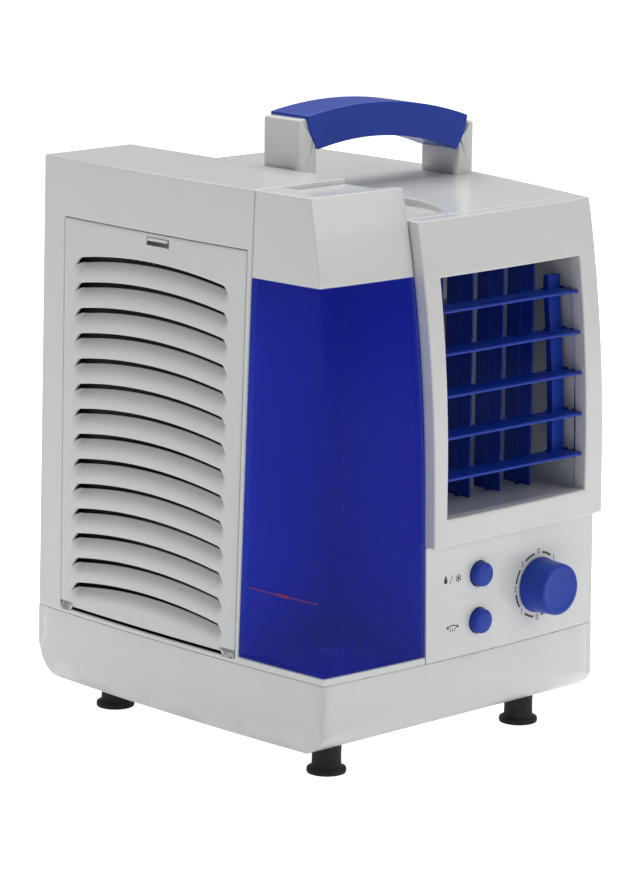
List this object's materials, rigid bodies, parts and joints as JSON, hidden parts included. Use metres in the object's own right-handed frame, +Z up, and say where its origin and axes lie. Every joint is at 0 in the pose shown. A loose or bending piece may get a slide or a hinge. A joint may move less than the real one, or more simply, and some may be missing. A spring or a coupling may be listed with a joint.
{
  "type": "evaporative_cooler",
  "caption": "Small portable evaporative air cooler in white moulded plastic with blue controls and handle, a lift-out corner water tank and a louvred side filter panel",
  "frame": {"origin": "on the floor, under the middle of the cooler", "axes": "+Z up, front with the air outlet and controls facing -Y, filter side facing -X"},
  "size_m": [0.279, 0.3362, 0.4486],
  "materials": {
    "white_shell": "glossy",
    "white_grille": "glossy",
    "blue_trim": "glossy",
    "blue_tank": "translucent",
    "black_rubber": "matte",
    "black_plastic": "matte",
    "natural_plastic": "matte",
    "pad_paper": "corrugated",
    "steel": "brushed",
    "board_green": "satin",
    "hose_clear": "matte"
  },
  "bodies": {
    "cooler": {"base_tray": "white_shell", "feet": "black_rubber", "foot_screws": "steel", "housing": "white_shell", "cord_inlet": "black_plastic", "partition": "natural_plastic", "inlet_ring": "natural_plastic", "scroll_housing": "natural_plastic", "fan_motor": "steel", "cooling_pad": "pad_paper", "pad_frame": "natural_plastic", "distributor": "natural_plastic", "water_hose": "hose_clear", "pump_body": "black_plastic", "outlet_duct": "white_shell", "bezel": "white_shell", "control_panel": "white_shell", "control_board": "board_green", "button_switch_1": "black_plastic", "button_switch_2": "black_plastic", "rotary_switch": "black_plastic", "swing_motor": "steel", "handle_posts": "white_shell", "handle_grip": "blue_trim"},
    "tank": {"water_tank": "blue_tank", "tank_cap": "white_shell", "valve_cap": "blue_trim"},
    "valve": {"valve_plunger": "natural_plastic"},
    "filter": {"filter_panel": "white_grille", "filter_mesh": "black_plastic"},
    "latch": {"panel_latch": "white_grille"},
    "button_top": {"button_1": "blue_trim"},
    "button_low": {"button_2": "blue_trim"},
    "dial": {"knob": "blue_trim"},
    "fan": {"fan_drum": "black_plastic", "fan_shaft": "steel"},
    "impeller": {"pump_impeller": "natural_plastic"},
    "crank": {"swing_crank": "natural_plastic"},
    "blade_link": {"blade_link": "blue_trim"},
    "vane_link": {"vane_link": "blue_trim"},
    "blade_1": {"blade_1": "blue_trim"},
    "blade_2": {"blade_2": "blue_trim"},
    "blade_3": {"blade_3": "blue_trim"},
    "blade_4": {"blade_4": "blue_trim"},
    "blade_5": {"blade_5": "blue_trim"},
    "vane_1": {"vane_1": "blue_trim"},
    "vane_2": {"vane_2": "blue_trim"},
    "vane_3": {"vane_3": "blue_trim"},
    "vane_4": {"vane_4": "blue_trim"}
  },
  "joints": [
    {"name": "tank_lift", "type": "slide", "parent": "cooler", "child": "tank", "axis": [-0.02, -0.027, 0.9994], "range_m": [0, 0.34]},
    {"name": "valve_press", "type": "slide", "parent": "tank", "child": "valve", "axis": [0, 0, 1], "range_m": [0, 0.004], "stiffness_N_per_m": 200, "springref_m": -0.001},
    {"name": "filter_tilt", "type": "hinge", "parent": "cooler", "child": "filter", "pos_m": [-0.13354, 0.04, 0.0797], "axis": [0, -1, 0], "range_deg": [0, 25]},
    {"name": "latch_press", "type": "slide", "parent": "filter", "child": "latch", "axis": [0, 0, -1], "range_m": [0, 0.002], "stiffness_N_per_m": 400, "springref_m": -0.001},
    {"name": "blade_1_turn", "type": "hinge", "parent": "cooler", "child": "blade_1", "pos_m": [0.04, -0.13071, 0.3185], "axis": [1, 0, 0], "range_deg": [-25, 25]},
    {"name": "blade_2_turn", "type": "hinge", "parent": "cooler", "child": "blade_2", "pos_m": [0.04, -0.13384, 0.2892], "axis": [1, 0, 0], "range_deg": [-25, 25]},
    {"name": "blade_3_turn", "type": "hinge", "parent": "cooler", "child": "blade_3", "pos_m": [0.04, -0.13607, 0.2599], "axis": [1, 0, 0], "range_deg": [-25, 25]},
    {"name": "blade_4_turn", "type": "hinge", "parent": "cooler", "child": "blade_4", "pos_m": [0.04, -0.13743, 0.2306], "axis": [1, 0, 0], "range_deg": [-25, 25]},
    {"name": "blade_5_turn", "type": "hinge", "parent": "cooler", "child": "blade_5", "pos_m": [0.04, -0.1379, 0.2013], "axis": [1, 0, 0], "range_deg": [-25, 25]},
    {"name": "blade_link_turn", "type": "hinge", "parent": "blade_1", "child": "blade_link", "pos_m": [0.104, -0.12272, 0.3185], "axis": [1, 0, 0], "range_deg": [-25, 25]},
    {"name": "vane_1_turn", "type": "hinge", "parent": "cooler", "child": "vane_1", "pos_m": [0.001, -0.10291, 0.2599], "axis": [0, 0, 1], "range_deg": [-25, 25]},
    {"name": "vane_2_turn", "type": "hinge", "parent": "cooler", "child": "vane_2", "pos_m": [0.032, -0.10291, 0.2599], "axis": [0, 0, 1], "range_deg": [-25, 25]},
    {"name": "vane_3_turn", "type": "hinge", "parent": "cooler", "child": "vane_3", "pos_m": [0.063, -0.10291, 0.2599], "axis": [0, 0, 1], "range_deg": [-25, 25]},
    {"name": "vane_4_turn", "type": "hinge", "parent": "cooler", "child": "vane_4", "pos_m": [0.094, -0.10291, 0.2599], "axis": [0, 0, 1], "range_deg": [-25, 25]},
    {"name": "vane_link_turn", "type": "hinge", "parent": "vane_1", "child": "vane_link", "pos_m": [0.001, -0.09491, 0.188], "axis": [0, 0, 1], "range_deg": [-25, 25]},
    {"name": "swing_spin", "type": "hinge", "parent": "cooler", "child": "crank", "pos_m": [0.0475, -0.08291, 0.17], "axis": [0, 0, 1], "continuous": true},
    {"name": "button_1_press", "type": "slide", "parent": "cooler", "child": "button_top", "axis": [0, 1, 0], "range_m": [0, 0.003], "stiffness_N_per_m": 300, "springref_m": -0.001},
    {"name": "button_2_press", "type": "slide", "parent": "cooler", "child": "button_low", "axis": [0, 1, 0], "range_m": [0, 0.003], "stiffness_N_per_m": 300, "springref_m": -0.001},
    {"name": "dial_turn", "type": "hinge", "parent": "cooler", "child": "dial", "pos_m": [0.0728, -0.15191, 0.1112], "axis": [0, -1, 0], "continuous": true},
    {"name": "fan_spin", "type": "hinge", "parent": "cooler", "child": "fan", "pos_m": [0.04, 0.06409, 0.228], "axis": [1, 0, 0], "continuous": true},
    {"name": "impeller_spin", "type": "hinge", "parent": "cooler", "child": "impeller", "pos_m": [-0.076, 0.10809, 0.03], "axis": [0, 0, 1], "continuous": true}
  ],
  "couplings": [
    {"joint": "blade_2_turn", "follows": "blade_1_turn", "ratio": 1},
    {"joint": "blade_3_turn", "follows": "blade_1_turn", "ratio": 1},
    {"joint": "blade_4_turn", "follows": "blade_1_turn", "ratio": 1},
    {"joint": "blade_5_turn", "follows": "blade_1_turn", "ratio": 1},
    {"joint": "blade_link_turn", "follows": "blade_1_turn", "ratio": -1},
    {"joint": "vane_2_turn", "follows": "vane_1_turn", "ratio": 1},
    {"joint": "vane_3_turn", "follows": "vane_1_turn", "ratio": 1},
    {"joint": "vane_4_turn", "follows": "vane_1_turn", "ratio": 1},
    {"joint": "vane_link_turn", "follows": "vane_1_turn", "ratio": -1}
  ]
}
